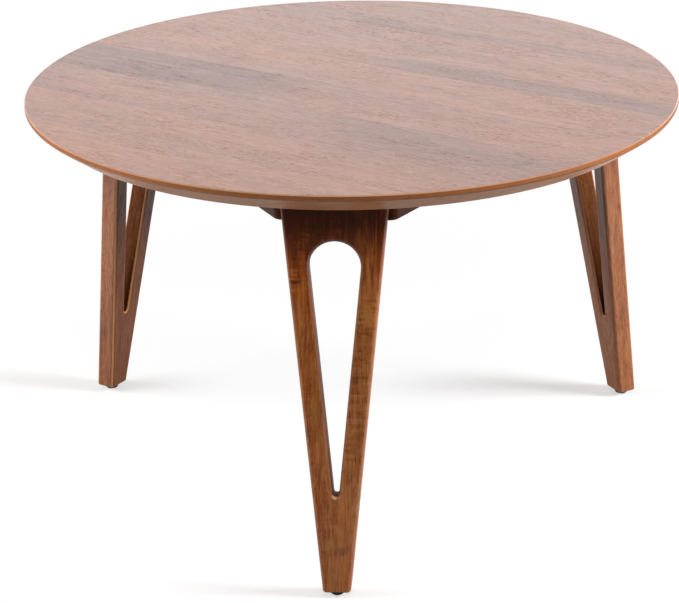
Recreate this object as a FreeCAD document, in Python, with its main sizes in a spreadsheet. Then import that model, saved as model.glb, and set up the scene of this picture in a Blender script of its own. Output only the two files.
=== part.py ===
import FreeCAD, Part
import math
import operator
import os
from types import SimpleNamespace

import Sketcher
from FreeCAD import Placement, Rotation, Vector

# Driving dimensions of the table in millimetres and degrees
driving_sizes = {
    # Whole table, floor to top surface
    "table_height": 458.0,
    # Round top of edge-glued boards, with an upright edge band above a long under-bevel
    "top_diameter": 750.0,
    "top_thickness": 26.4,
    "edge_band": 6.4,
    "bevel_inset": 29.0,
    "top_edge_chamfer": 1.2,
    "outer_board_width": 102.0,
    "seam_shift": -2.0,
    "seam_angle": -30.4,
    # Splayed plank legs, set in from the rim, with a teardrop slot measured down the outer face
    "leg_splay": 9.1,
    "leg_inset": 56.9,
    "leg_top_width": 116.0,
    "leg_foot_width": 30.2,
    "leg_thickness": 24.4,
    "leg_edge_ease": 4.2,
    "foot_chamfer": 1.5,
    "slot_drop": 43.4,
    "slot_length": 279.2,
    "slot_top_radius": 27.6,
    "slot_foot_radius": 3.1,
    # Triangular under-frame: rails along the sides, a wedge block in each blunt corner wider than its leg
    "frame_height": 28.0,
    "frame_overhang": 6.2,
    "rail_width": 30.0,
    "rail_corner_radius": 10.0,
    "block_depth": 41.4,
    # Leg bolts, set in from the sides of a leg, with washers and with threaded inserts in the leg's back
    "bolt_side_inset": 36.0,
    "bolt_diameter": 8.0,
    "bolt_clearance": 0.4,
    "bolt_engagement": 17.0,
    "bolt_head_diameter": 13.0,
    "bolt_head_height": 8.0,
    "bolt_key_size": 6.0,
    "bolt_key_depth": 4.0,
    "washer_diameter": 18.0,
    "washer_thickness": 1.6,
    "insert_diameter": 12.0,
    "insert_length": 18.0,
    # Dowels between rails and blocks
    "dowel_diameter": 8.0,
    "dowel_in_rail": 16.0,
    "dowel_in_block": 12.0,
    # Countersunk wood screws up into the top, those of a rail set in from its dowels, those of a block
    # set to one side of its middle, clear of the seam that runs there
    "screw_length": 40.0,
    "screw_diameter": 4.5,
    "screw_head_diameter": 9.0,
    "screw_point": 6.0,
    "screw_tip_diameter": 0.6,
    "rail_screw_inset": 94.0,
    "block_screw_shift": 8.0,
    # Nail-on glides under the feet
    "glide_diameter": 16.0,
    "glide_height": 5.8,
    "glide_edge_radius": 3.2,
    "nail_diameter": 2.4,
    "nail_length": 18.0,
    "nail_head_diameter": 6.0,
    "nail_head_thickness": 1.2,
    "nail_head_level": 2.0,
    # Gap left around every fitted fastener and past its tip
    "fit_clearance": 0.05,
    "tip_clearance": 0.5,
}

# Boards across the top, the two outer ones of a width of their own
board_count = 8

# Directions of the three legs and of the rails between them, in degrees around the table
leg_azimuths = {"front": -90.0, "right": 30.0, "left": 150.0}
rail_azimuths = {"back": 90.0, "left": 210.0, "right": 330.0}
rail_leg_turn = 60.0

# Legs at the two ends of each rail, in the order of the rail's own X axis
rail_legs = {"back": ("left", "right"), "left": ("front", "left"), "right": ("right", "front")}

doc = FreeCAD.newDocument("CocktailTable")
sheet = doc.addObject("Spreadsheet::Sheet", "Sizes")
for row, (alias, number) in enumerate(driving_sizes.items(), start=1):
    sheet.set(f"A{row}", alias)
    sheet.set(f"B{row}", str(number))
    sheet.setAlias(f"B{row}", alias)
doc.recompute()

operations = {"+": operator.add, "-": operator.sub, "*": operator.mul, "/": operator.truediv}


class Size:
    """A size as an expression on the sheet, together with its present value."""

    def __init__(self, text, value):
        self.text = text
        self.value = value

    def __add__(self, other):
        return combine(self, "+", other)

    def __radd__(self, other):
        return combine(other, "+", self)

    def __sub__(self, other):
        return combine(self, "-", other)

    def __rsub__(self, other):
        return combine(other, "-", self)

    def __mul__(self, other):
        return combine(self, "*", other)

    def __rmul__(self, other):
        return combine(other, "*", self)

    def __truediv__(self, other):
        return combine(self, "/", other)

    def __neg__(self):
        return Size(f"(-{self.text})", -self.value)


def as_size(number):
    return number if isinstance(number, Size) else Size(str(number), number)


def combine(first, sign, second):
    first = as_size(first)
    second = as_size(second)
    value = operations[sign](first.value, second.value)
    return Size(f"({first.text} {sign} {second.text})", value)


def sine(angle):
    return Size(f"sin({angle.text})", math.sin(math.radians(angle.value)))


def cosine(angle):
    return Size(f"cos({angle.text})", math.cos(math.radians(angle.value)))


def tangent(angle):
    return sine(angle) / cosine(angle)


s = SimpleNamespace(**{name: Size(f"Sizes.{name}", float(sheet.get(name))) for name in driving_sizes})
nodes = []


def node(item, label):
    item.Label = label
    nodes.append(item)
    return item


def bind(item, **bound):
    for name, size in bound.items():
        item.setExpression(name, size.text)
    return item


def add(kind, name):
    return doc.addObject(kind, name)


# Placed primitives and booleans
along_y = Rotation(Vector(1, 0, 0), -90)
upright = Rotation()


def frame_at(azimuth, reach, level, tilt=0.0):
    """Frame whose +Y points outward along an azimuth, tipped up by a tilt."""
    turn = Rotation(Vector(0, 0, 1), azimuth - 90)
    out = turn.multVec(Vector(0, reach, 0))
    return Placement(Vector(out.x, out.y, level), turn.multiply(Rotation(Vector(1, 0, 0), tilt)))


def spot(frame, x, y, z, rotation=upright):
    point = Vector(as_size(x).value, as_size(y).value, as_size(z).value)
    return frame.multiply(Placement(point, rotation))


def rod(name, place, diameter, length):
    item = bind(add("Part::Cylinder", name), Radius=diameter / 2, Height=length)
    item.Placement = place
    return item


def cone(name, place, start_diameter, end_diameter, length):
    item = add("Part::Cone", name)
    bind(item, Radius1=start_diameter / 2, Radius2=end_diameter / 2, Height=length)
    item.Placement = place
    return item


def box(name, place, length, width, height):
    item = bind(add("Part::Box", name), Length=length, Width=width, Height=height)
    item.Placement = place
    return item


def fuse(name, *items):
    item = add("Part::MultiFuse", name)
    item.Shapes = list(items)
    return item


def group(name, items):
    item = add("Part::Compound", name)
    item.Links = list(items)
    return item


def cut(name, base, tools):
    item = add("Part::Cut", name)
    item.Base = base
    item.Tool = tools[0] if len(tools) == 1 else group(f"{name}_tools", tools)
    return item


# Sketches whose points are held by expressions
def sketch_on(body, role, name):
    sketch = body.newObject("Sketcher::SketchObject", name)
    plane = next(item for item in body.Origin.OriginFeatures if item.Role == role)
    sketch.AttachmentSupport = [(plane, "")]
    sketch.MapMode = "FlatFace"
    return sketch


def hold(sketch, kind, part, point, size):
    """Fix one coordinate of a sketch point by its distance from the sketch origin."""
    if size.value >= 0:
        index = sketch.addConstraint(Sketcher.Constraint(kind, -1, 1, part, point, size.value))
        sketch.setExpression(f"Constraints[{index}]", size.text)
    else:
        index = sketch.addConstraint(Sketcher.Constraint(kind, part, point, -1, 1, -size.value))
        sketch.setExpression(f"Constraints[{index}]", (-size).text)


def hold_radius(sketch, part, radius):
    index = sketch.addConstraint(Sketcher.Constraint("Radius", part, radius.value))
    sketch.setExpression(f"Constraints[{index}]", radius.text)


def draw_polygon(sketch, corners):
    """Closed outline of straight lines through corners given as pairs of sizes."""
    corners = [(as_size(x), as_size(y)) for x, y in corners]
    points = [Vector(x.value, y.value, 0) for x, y in corners]
    after = points[1:] + points[:1]
    lines = [sketch.addGeometry(Part.LineSegment(start, end)) for start, end in zip(points, after)]
    for line, following in zip(lines, lines[1:] + lines[:1]):
        sketch.addConstraint(Sketcher.Constraint("Coincident", line, 2, following, 1))
    for line, (x, y) in zip(lines, corners):
        hold(sketch, "DistanceX", line, 1, x)
        hold(sketch, "DistanceY", line, 1, y)


def draw_teardrop(sketch, top_centre, top_radius, foot_centre, foot_radius):
    """Two arcs on the sketch's upright axis, joined by their outer tangents."""
    span = top_centre.value - foot_centre.value
    lean = math.asin((top_radius.value - foot_radius.value) / span)
    top = Vector(0, top_centre.value, 0)
    foot = Vector(0, foot_centre.value, 0)
    normal = Vector(0, 0, 1)
    top_circle = Part.Circle(top, normal, top_radius.value)
    foot_circle = Part.Circle(foot, normal, foot_radius.value)
    arch = sketch.addGeometry(Part.ArcOfCircle(top_circle, -lean, math.pi + lean))
    tip = sketch.addGeometry(Part.ArcOfCircle(foot_circle, math.pi + lean, 2 * math.pi - lean))
    to_right = Vector(math.cos(lean), -math.sin(lean), 0)
    to_left = Vector(-to_right.x, to_right.y, 0)
    top_right = top + to_right * top_radius.value
    top_left = top + to_left * top_radius.value
    foot_right = foot + to_right * foot_radius.value
    foot_left = foot + to_left * foot_radius.value
    right = sketch.addGeometry(Part.LineSegment(foot_right, top_right))
    left = sketch.addGeometry(Part.LineSegment(top_left, foot_left))
    chain = [right, arch, left, tip]
    for part, following in zip(chain, chain[1:] + chain[:1]):
        sketch.addConstraint(Sketcher.Constraint("Tangent", part, 2, following, 1))
    for arc, centre, radius in ((arch, top_centre, top_radius), (tip, foot_centre, foot_radius)):
        sketch.addConstraint(Sketcher.Constraint("PointOnObject", arc, 3, -2))
        hold(sketch, "DistanceY", arc, 3, centre)
        hold_radius(sketch, arc, radius)


def draw_circle(sketch, radius):
    circle = sketch.addGeometry(Part.Circle(Vector(), Vector(0, 0, 1), radius.value))
    sketch.addConstraint(Sketcher.Constraint("Coincident", circle, 3, -1, 1))
    hold_radius(sketch, circle, radius)


def pad(body, name, sketch, length):
    feature = body.newObject("PartDesign::Pad", name)
    feature.Profile = sketch
    return bind(feature, Length=length)


def picked_edges(feature, chosen):
    """Name the edges of a feature that a test picks out."""
    doc.recompute()
    return [f"Edge{index}" for index, edge in enumerate(feature.Shape.Edges, start=1) if chosen(edge)]


def ease(body, name, feature, chosen, radius):
    """Round the edges of a feature that a test picks out."""
    rounding = body.newObject("PartDesign::Fillet", name)
    rounding.Base = (feature, picked_edges(feature, chosen))
    return bind(rounding, Radius=radius)


def chamfer(body, name, feature, chosen, size):
    """Take the corner off the edges of a feature that a test picks out."""
    slope = body.newObject("PartDesign::Chamfer", name)
    slope.Base = (feature, picked_edges(feature, chosen))
    return bind(slope, Size=size)


# Helpers of the construction: a distance that counts as none, spare stock on blanks, size of cutting tools
near = 0.001
spare_stock = 20.0
oversize = 4

# Levels and reaches that several pieces share
underside = s.table_height - s.top_thickness
frame_bottom = underside - s.frame_height
leg_drop = underside - s.glide_height
leg_length = leg_drop / cosine(s.leg_splay)
leg_depth = s.leg_thickness / cosine(s.leg_splay)
leg_top_reach = s.top_diameter / 2 - s.leg_inset
leg_back_reach = leg_top_reach - leg_depth
frame_mid_back_reach = leg_back_reach + s.frame_height / 2 * tangent(s.leg_splay)
foot_reach = leg_top_reach + leg_drop * tangent(s.leg_splay) - leg_depth / 2
turn_sine = math.sin(math.radians(rail_leg_turn))
turn_cosine = math.cos(math.radians(rail_leg_turn))
frame_end_half = s.leg_top_width / 2 + s.frame_overhang
frame_reach = frame_mid_back_reach * turn_cosine + frame_end_half * turn_sine
rail_inner_reach = frame_reach - s.rail_width

leg_frames = {
    name: frame_at(azimuth, leg_top_reach.value, underside.value, s.leg_splay.value)
    for name, azimuth in leg_azimuths.items()
}
block_frames = {name: frame_at(azimuth, 0, frame_bottom.value) for name, azimuth in leg_azimuths.items()}
rail_frames = {name: frame_at(azimuth, 0, frame_bottom.value) for name, azimuth in rail_azimuths.items()}
foot_frames = {name: frame_at(azimuth, foot_reach.value, 0) for name, azimuth in leg_azimuths.items()}

# Bolt places in a leg's own frame: the bolt crosses the middle of the block at half the frame's height
bolt_start = -s.leg_thickness - s.block_depth
bolt_middle = -s.leg_thickness - s.block_depth / 2
bolt_level = (-s.frame_height / 2 - bolt_middle * sine(s.leg_splay)) / cosine(s.leg_splay)
bolt_offset = s.leg_top_width / 2 - s.bolt_side_inset
bolt_sides = (-bolt_offset, bolt_offset)

# Middle of the joint between a rail and a block, seen from the leg and from the rail
block_middle_reach = frame_mid_back_reach - s.block_depth / cosine(s.leg_splay) / 2
joint_offset = (rail_inner_reach - block_middle_reach * turn_cosine) / turn_sine
joint_run = block_middle_reach * turn_sine - joint_offset * turn_cosine
dowel_spots = (-joint_run, joint_run)


def wood_screw(name, frame, x, y):
    """A countersunk screw with its point up, and the hole that takes it."""
    head_depth = (s.screw_head_diameter - s.screw_diameter) / 2
    straight = s.screw_length - s.screw_point
    start = spot(frame, x, y, 0)
    point = spot(frame, x, y, straight)
    screw = fuse(
        name,
        cone(f"{name}_head", start, s.screw_head_diameter, s.screw_diameter, head_depth),
        rod(f"{name}_shank", start, s.screw_diameter, straight),
        cone(f"{name}_point", point, s.screw_diameter, s.screw_tip_diameter, s.screw_point),
    )
    wider = s.screw_diameter + 2 * s.fit_clearance
    head_wider = s.screw_head_diameter + 2 * s.fit_clearance
    hole = fuse(
        f"{name}_hole",
        cone(f"{name}_sink", start, head_wider, wider, head_depth),
        rod(f"{name}_bore", start, wider, s.screw_length + s.tip_clearance),
    )
    return screw, hole


rail_screw_run = joint_run - s.rail_screw_inset
rail_screw_sides = (-rail_screw_run, rail_screw_run)
rail_middle_reach = rail_inner_reach + s.rail_width / 2
rail_screws = {
    name: [
        wood_screw(f"rail_screw_{name}_{index}", frame, x, rail_middle_reach)
        for index, x in enumerate(rail_screw_sides, start=1)
    ]
    for name, frame in rail_frames.items()
}
block_screws = {
    name: wood_screw(f"block_screw_{name}_body", frame, s.block_screw_shift, block_middle_reach)
    for name, frame in block_frames.items()
}


# Round top: one turned profile, sawn into boards that are glued edge to edge
def make_top():
    body = add("PartDesign::Body", "top_round")
    profile = sketch_on(body, "XZ_Plane", "top_profile")
    radius = s.top_diameter / 2
    bevel_top = s.table_height - s.edge_band
    draw_polygon(
        profile,
        [
            (0, underside),
            (radius - s.bevel_inset, underside),
            (radius, bevel_top),
            (radius, s.table_height),
            (0, s.table_height),
        ],
    )
    turned = body.newObject("PartDesign::Revolution", "top_turned")
    turned.Profile = profile
    turned.ReferenceAxis = (profile, ["V_Axis"])
    chamfer(body, "top_arris", turned, lambda edge: len(edge.Vertexes) == 1, s.top_edge_chamfer)

    holes = [hole for pair in rail_screws.values() for screw, hole in pair]
    holes += [hole for screw, hole in block_screws.values()]
    pilot_holes = group("top_pilot_holes", holes)

    # The seams lie evenly between the outer boards, all shifted a little to one side
    first_seam = s.outer_board_width + s.seam_shift - radius
    board_width = (s.top_diameter - 2 * s.outer_board_width) / (board_count - 2)
    seams = [first_seam + board_width * index for index in range(board_count - 1)]
    rim = radius + spare_stock
    starts = [-rim] + seams
    ends = seams + [rim]
    tall = s.table_height + spare_stock
    grain = Placement(Vector(), Rotation(Vector(0, 0, 1), s.seam_angle.value))
    for index, (start, end) in enumerate(zip(starts, ends), start=1):
        name = f"top_board_{index}"
        strip = box(f"{name}_strip", spot(grain, -rim, start, 0), 2 * rim, end - start, tall)
        board = add("Part::Common", f"{name}_plank")
        board.Base = body
        board.Tool = strip
        node(cut(name, board, [pilot_holes]), name)


# Leg: a tapered plank with a teardrop slot, its ends cut level, its edges rounded, its foot chamfered
def make_leg(name):
    body = add("PartDesign::Body", f"leg_{name}_plank")
    half_top = s.leg_top_width / 2
    half_foot = s.leg_foot_width / 2
    spare = (half_top - half_foot) / leg_length * spare_stock
    top_edge = as_size(spare_stock)
    foot_edge = -leg_length - spare_stock
    face = sketch_on(body, "XZ_Plane", f"leg_{name}_face")
    draw_polygon(
        face,
        [
            (-half_foot + spare, foot_edge),
            (half_foot - spare, foot_edge),
            (half_top + spare, top_edge),
            (-half_top - spare, top_edge),
        ],
    )
    arch_centre = -s.slot_drop - s.slot_top_radius
    tip_centre = -s.slot_drop - s.slot_length + s.slot_foot_radius
    draw_teardrop(face, arch_centre, s.slot_top_radius, tip_centre, s.slot_foot_radius)
    pad(body, f"leg_{name}_thick", face, s.leg_thickness)

    front = as_size(spare_stock)
    back = -s.leg_thickness - spare_stock
    above = as_size(2 * spare_stock)
    below = -leg_length - 2 * spare_stock

    def level_at(y, drop):
        return (-drop - y * sine(s.leg_splay)) / cosine(s.leg_splay)

    ends = sketch_on(body, "YZ_Plane", f"leg_{name}_ends")
    for drop, limit in ((as_size(0), above), (leg_drop, below)):
        draw_polygon(
            ends,
            [(front, level_at(front, drop)), (front, limit), (back, limit), (back, level_at(back, drop))],
        )
    trim = body.newObject("PartDesign::Pocket", f"leg_{name}_level")
    trim.Profile = ends
    trim.Type = "ThroughAll"
    trim.SideType = "Symmetric"

    tilt = math.radians(s.leg_splay.value)

    def height(point):
        return point.z * math.cos(tilt) + point.y * math.sin(tilt)

    def at_drop(edge, drop):
        return all(abs(height(vertex.Point) + drop) < near for vertex in edge.Vertexes)

    def at_foot(edge):
        return at_drop(edge, leg_drop.value)

    def rounded(edge):
        points = [vertex.Point for vertex in edge.Vertexes]
        on_front = all(abs(point.y) < near for point in points)
        on_back = all(abs(point.y + s.leg_thickness.value) < near for point in points)
        return (on_front or on_back) and not at_drop(edge, 0) and not at_foot(edge)

    eased = ease(body, f"leg_{name}_eased", trim, rounded, s.leg_edge_ease)
    chamfer(body, f"leg_{name}_foot", eased, at_foot, s.foot_chamfer)
    body.Placement = leg_frames[name]
    return body


# Wedge block between two rails, parallel to the back of its leg
def make_block(name):
    body = add("PartDesign::Body", f"corner_block_{name}_wedge")
    plan = sketch_on(body, "XY_Plane", f"corner_block_{name}_plan")
    inner = leg_back_reach - s.block_depth - spare_stock
    outer = leg_back_reach + spare_stock
    inner_half = (rail_inner_reach - inner * turn_cosine) / turn_sine
    outer_half = (rail_inner_reach - outer * turn_cosine) / turn_sine
    draw_polygon(
        plan,
        [(-inner_half, inner), (inner_half, inner), (outer_half, outer), (-outer_half, outer)],
    )
    pad(body, f"corner_block_{name}_thick", plan, s.frame_height)
    body.Placement = block_frames[name]
    wide = 2 * inner_half + 2 * spare_stock
    tall = oversize * s.frame_height
    slab_start = spot(leg_frames[name], -wide / 2, bolt_start, -tall / 2)
    slab = box(f"corner_block_{name}_slab", slab_start, wide, s.block_depth, tall)
    block = add("Part::Common", f"corner_block_{name}_sawn")
    block.Base = body
    block.Tool = slab
    return block


# Rail along one side of the frame, its ends bevelled to the backs of two legs and rounded outside
def make_rail(name):
    frame = rail_frames[name]
    end_run = (frame_mid_back_reach - frame_reach * turn_cosine) / turn_sine
    long_run = (frame_mid_back_reach - rail_inner_reach * turn_cosine) / turn_sine + spare_stock
    blank_start = spot(frame, -long_run, rail_inner_reach, 0)
    blank = box(f"rail_{name}_blank", blank_start, 2 * long_run, s.rail_width, s.frame_height)
    wide = oversize * s.leg_top_width
    tall = oversize * s.frame_height
    ends = []
    for leg in rail_legs[name]:
        leg_back = spot(leg_frames[leg], -wide / 2, -s.leg_thickness, -tall / 2)
        ends.append(box(f"rail_{name}_end_{leg}", leg_back, wide, wide, tall))
    bevelled = cut(f"rail_{name}_bevelled", blank, ends)
    doc.recompute()
    corners = [spot(frame, side, frame_reach, s.frame_height / 2).Base for side in (-end_run, end_run)]
    edges = list(enumerate(bevelled.Shape.Edges, start=1))

    def nearest(corner):
        return min(edges, key=lambda pair: pair[1].CenterOfMass.distanceToPoint(corner))[0]

    rounded = add("Part::Fillet", f"rail_{name}_rounded")
    rounded.Base = bevelled
    radius = s.rail_corner_radius.value
    rounded.Edges = [(nearest(corner), radius, radius) for corner in corners]
    return rounded


# Hex-socket bolt, washer and threaded insert at one place behind a leg
def leg_fastener(name, frame, x):
    head_start = bolt_start - s.washer_thickness - s.bolt_head_height
    seat = bolt_start - s.washer_thickness
    shank_length = s.washer_thickness + s.block_depth + s.bolt_engagement

    def along(y):
        return spot(frame, x, y, bolt_level, along_y)

    solid = fuse(
        f"{name}_bolt_solid",
        rod(f"{name}_bolt_head", along(head_start), s.bolt_head_diameter, s.bolt_head_height),
        rod(f"{name}_bolt_shank", along(seat), s.bolt_diameter, shank_length),
    )
    key = add("Part::Prism", f"{name}_bolt_key")
    bind(key, Circumradius=s.bolt_key_size / math.sqrt(3), Height=s.bolt_key_depth)
    key.Polygon = 6
    key.Placement = along(head_start)
    bolt = cut(f"{name}_bolt", solid, [key])
    loose = s.bolt_diameter + 2 * s.bolt_clearance
    snug = s.bolt_diameter + 2 * s.fit_clearance
    hole = rod(f"{name}_hole", along(bolt_start), loose, s.block_depth)
    washer = cut(
        f"{name}_washer",
        rod(f"{name}_washer_disc", along(seat), s.washer_diameter, s.washer_thickness),
        [rod(f"{name}_washer_bore", along(seat), loose, s.washer_thickness)],
    )
    insert = cut(
        f"{name}_insert",
        rod(f"{name}_insert_outside", along(-s.leg_thickness), s.insert_diameter, s.insert_length),
        [rod(f"{name}_insert_bore", along(-s.leg_thickness), snug, s.insert_length)],
    )
    pocket = rod(
        f"{name}_pocket",
        along(-s.leg_thickness),
        s.insert_diameter + 2 * s.fit_clearance,
        s.insert_length + s.fit_clearance,
    )
    return SimpleNamespace(bolt=bolt, washer=washer, insert=insert, hole=hole, pocket=pocket)


def on_floor(edge):
    return edge.BoundBox.ZMax < near


# Domed glide on a nail driven up into the foot
def make_glide(name):
    frame = foot_frames[name]
    body = add("PartDesign::Body", f"glide_{name}_pad")
    disc = sketch_on(body, "XY_Plane", f"glide_{name}_disc")
    draw_circle(disc, s.glide_diameter / 2)
    thick = pad(body, f"glide_{name}_thick", disc, s.glide_height)
    ease(body, f"glide_{name}_eased", thick, on_floor, s.glide_edge_radius)
    body.Placement = frame
    start = spot(frame, 0, 0, s.nail_head_level)
    nail = fuse(
        f"glide_nail_{name}_solid",
        rod(f"glide_nail_{name}_head", start, s.nail_head_diameter, s.nail_head_thickness),
        rod(f"glide_nail_{name}_shank", start, s.nail_diameter, s.nail_length),
    )
    gap = s.fit_clearance
    low = spot(frame, 0, 0, s.nail_head_level - gap)
    seat_depth = s.nail_head_thickness + 2 * gap
    bore_depth = s.nail_length + gap + s.tip_clearance
    hole = fuse(
        f"glide_nail_{name}_hole",
        rod(f"glide_nail_{name}_seat", low, s.nail_head_diameter + 2 * gap, seat_depth),
        rod(f"glide_nail_{name}_bore", low, s.nail_diameter + 2 * gap, bore_depth),
    )
    node(cut(f"glide_{name}", body, [hole]), f"glide_{name}")
    node(nail, f"glide_nail_{name}")
    return hole


make_top()

# Dowels lie across each joint of rail and block; each belongs to the corner it stands in
dowels = {name: [] for name in leg_azimuths}
rail_dowel_holes = {name: [] for name in rail_azimuths}
block_dowel_holes = {name: [] for name in leg_azimuths}
dowel_start = rail_inner_reach - s.dowel_in_block
dowel_length = s.dowel_in_block + s.dowel_in_rail
dowel_level = s.frame_height / 2
for rail, frame in rail_frames.items():
    for run, corner in zip(dowel_spots, rail_legs[rail]):
        name = f"dowel_{rail}_{corner}"
        start = spot(frame, run, dowel_start, dowel_level, along_y)
        dowels[corner].append(rod(name, start, s.dowel_diameter, dowel_length))
        gap = s.fit_clearance
        hole_start = spot(frame, run, dowel_start - gap, dowel_level, along_y)
        hole = rod(f"{name}_hole", hole_start, s.dowel_diameter + 2 * gap, dowel_length + 2 * gap)
        rail_dowel_holes[rail].append(hole)
        block_dowel_holes[corner].append(hole)

for name in rail_azimuths:
    screws = [screw for screw, hole in rail_screws[name]]
    screw_holes = [hole for screw, hole in rail_screws[name]]
    node(cut(f"rail_{name}", make_rail(name), screw_holes + rail_dowel_holes[name]), f"rail_{name}")
    node(group(f"rail_screws_{name}", screws), f"rail_screws_{name}")

for name in leg_azimuths:
    frame = leg_frames[name]
    fasteners = [
        leg_fastener(f"leg_{name}_{index}", frame, x) for index, x in enumerate(bolt_sides, start=1)
    ]
    nail_hole = make_glide(name)
    pockets = [fastener.pocket for fastener in fasteners]
    node(cut(f"leg_{name}", make_leg(name), pockets + [nail_hole]), f"leg_{name}")
    screw, screw_hole = block_screws[name]
    block_holes = [fastener.hole for fastener in fasteners] + block_dowel_holes[name] + [screw_hole]
    node(cut(f"corner_block_{name}", make_block(name), block_holes), f"corner_block_{name}")
    node(screw, f"block_screw_{name}")
    node(group(f"frame_dowels_{name}", dowels[name]), f"frame_dowels_{name}")
    node(group(f"leg_bolts_{name}", [fastener.bolt for fastener in fasteners]), f"leg_bolts_{name}")
    node(group(f"leg_washers_{name}", [fastener.washer for fastener in fasteners]), f"leg_washers_{name}")
    node(group(f"leg_inserts_{name}", [fastener.insert for fastener in fasteners]), f"leg_inserts_{name}")

doc.recompute()

# Nothing is written unless every object and every piece is sound
failed = [item.Name for item in doc.Objects if "Invalid" in item.State or "Error" in item.State]
if failed:
    raise RuntimeError(f"Objects that failed to build: {failed}")
unsound = [item.Label for item in nodes if item.Shape.isNull() or not item.Shape.isValid()]
if unsound:
    raise RuntimeError(f"Pieces with an unsound shape: {unsound}")

os.makedirs("parts", exist_ok=True)
for item in nodes:
    item.Shape.exportStep(f"parts/{item.Label}.step")
    print(item.Label, len(item.Shape.Solids), "solids", round(item.Shape.Volume), "mm3")
print(len(nodes), "pieces")
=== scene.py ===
import math

import bmesh
import bpy
from mathutils import Euler, Matrix, Vector


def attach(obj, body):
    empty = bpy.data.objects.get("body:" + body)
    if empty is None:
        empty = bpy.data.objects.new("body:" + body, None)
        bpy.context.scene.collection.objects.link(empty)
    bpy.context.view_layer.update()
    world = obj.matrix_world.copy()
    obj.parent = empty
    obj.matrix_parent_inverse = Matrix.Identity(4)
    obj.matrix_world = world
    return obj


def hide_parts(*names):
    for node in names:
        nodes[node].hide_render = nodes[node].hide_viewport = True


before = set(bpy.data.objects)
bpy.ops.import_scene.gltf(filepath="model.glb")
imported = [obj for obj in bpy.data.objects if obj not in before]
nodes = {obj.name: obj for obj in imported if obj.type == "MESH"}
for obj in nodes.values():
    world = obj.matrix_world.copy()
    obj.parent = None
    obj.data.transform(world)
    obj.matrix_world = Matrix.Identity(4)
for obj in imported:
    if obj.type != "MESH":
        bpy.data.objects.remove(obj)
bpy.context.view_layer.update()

print("frame loaded:", len(nodes), "nodes")


# one socket of a node sheet; sums on it add Math nodes
class Wire:
    def __init__(self, sheet, socket):
        self.sheet = sheet
        self.socket = socket

    def maths(self, operation, *values):
        return self.sheet.node("ShaderNodeMath", {"operation": operation}, dict(enumerate(values)))

    def __add__(self, other):
        return self.maths("ADD", self, other)

    def __radd__(self, other):
        return self.maths("ADD", other, self)

    def __sub__(self, other):
        return self.maths("SUBTRACT", self, other)

    def __rsub__(self, other):
        return self.maths("SUBTRACT", other, self)

    def __mul__(self, other):
        return self.maths("MULTIPLY", self, other)

    def __rmul__(self, other):
        return self.maths("MULTIPLY", other, self)

    def __truediv__(self, other):
        return self.maths("DIVIDE", self, other)

    def __rtruediv__(self, other):
        return self.maths("DIVIDE", other, self)

    def __pow__(self, other):
        return self.maths("POWER", self, other)

    def __rpow__(self, other):
        return self.maths("POWER", other, self)

    def __abs__(self):
        return self.maths("ABSOLUTE", self)

    def sine(self):
        return self.maths("SINE", self)

    def atLeast(self, other):
        return self.maths("MAXIMUM", self, other)


# a ramp's stops are pairs of place and colour
def fillRamp(ramp, stops):
    while len(ramp.elements) < len(stops):
        ramp.elements.new(1.0)
    for element, (place, colour) in zip(ramp.elements, stops):
        element.position = place
        element.color = colour


# a node sheet with the few nodes that the finishes are written in
class Sheet:
    def __init__(self, tree):
        self.tree = tree
        tree.nodes.clear()

    def node(self, kind, settings, inputs, out=0):
        item = self.tree.nodes.new(kind)
        for name, value in settings.items():
            if name == "stops":
                fillRamp(item.color_ramp, value)
            else:
                setattr(item, name, value)
        for name, value in inputs.items():
            socket = item.inputs[name]
            if isinstance(value, Wire):
                self.tree.links.new(value.socket, socket)
            else:
                socket.default_value = value
        return Wire(self, item.outputs[out]) if item.outputs else None

    # noise around zero; scale is waves to the metre
    def swing(self, vector, scale, shift, detail=2.0, rough=0.5, distort=0.0):
        moved = self.node(
            "ShaderNodeVectorMath", {"operation": "MULTIPLY_ADD"}, {0: vector, 1: scale, 2: shift})
        noise = self.node("ShaderNodeTexNoise", {"noise_dimensions": "3D"}, {
            "Vector": moved, "Scale": 1.0, "Detail": detail, "Roughness": rough, "Distortion": distort})
        return noise - 0.5

    def ease(self, value, start, end, low=0.0, high=1.0):
        return self.node("ShaderNodeMapRange", {"interpolation_type": "SMOOTHSTEP"}, {
            "Value": value, "From Min": start, "From Max": end, "To Min": low, "To Max": high})

    # 0 in the middle of an oval spot, 1 on its edge
    def away(self, x, y, spot):
        middleX, middleY, length, width = spot
        return (((x - middleX) / length) ** 2 + ((y - middleY) / width) ** 2) ** 0.5

    def mix(self, factor, first, second, blend="MIX"):
        settings = {"data_type": "RGBA", "blend_type": blend}
        return self.node("ShaderNodeMix", settings, {0: factor, 6: first, 7: second}, 2)

    def mixShader(self, factor, first, second):
        return self.node("ShaderNodeMixShader", {}, {0: factor, 1: first, 2: second})

    def dot(self, vector, axis):
        settings = {"operation": "DOT_PRODUCT"}
        return self.node("ShaderNodeVectorMath", settings, {0: vector, 1: axis}, "Value")

    def parts(self, vector):
        return [self.node("ShaderNodeSeparateXYZ", {}, {0: vector}, index) for index in range(3)]

    def vector(self, x, y, z):
        return self.node("ShaderNodeCombineXYZ", {}, {0: x, 1: y, 2: z})

    def place(self, kind="Object"):
        return self.node("ShaderNodeTexCoord", {}, {}, kind)

    # what the camera sees, and what shows in lacquer or metal or through glass
    def rays(self):
        seen, mirrored, through = (
            self.node("ShaderNodeLightPath", {}, {}, kind)
            for kind in ("Is Camera Ray", "Is Glossy Ray", "Is Transmission Ray"))
        return seen, mirrored + through

    def bump(self, height, strength, distance):
        return self.node(
            "ShaderNodeBump", {}, {"Height": height, "Strength": strength, "Distance": distance})

    def finish(self, inputs):
        shader = self.node("ShaderNodeBsdfPrincipled", {}, inputs)
        self.node("ShaderNodeOutputMaterial", {}, {"Surface": shader})


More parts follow.
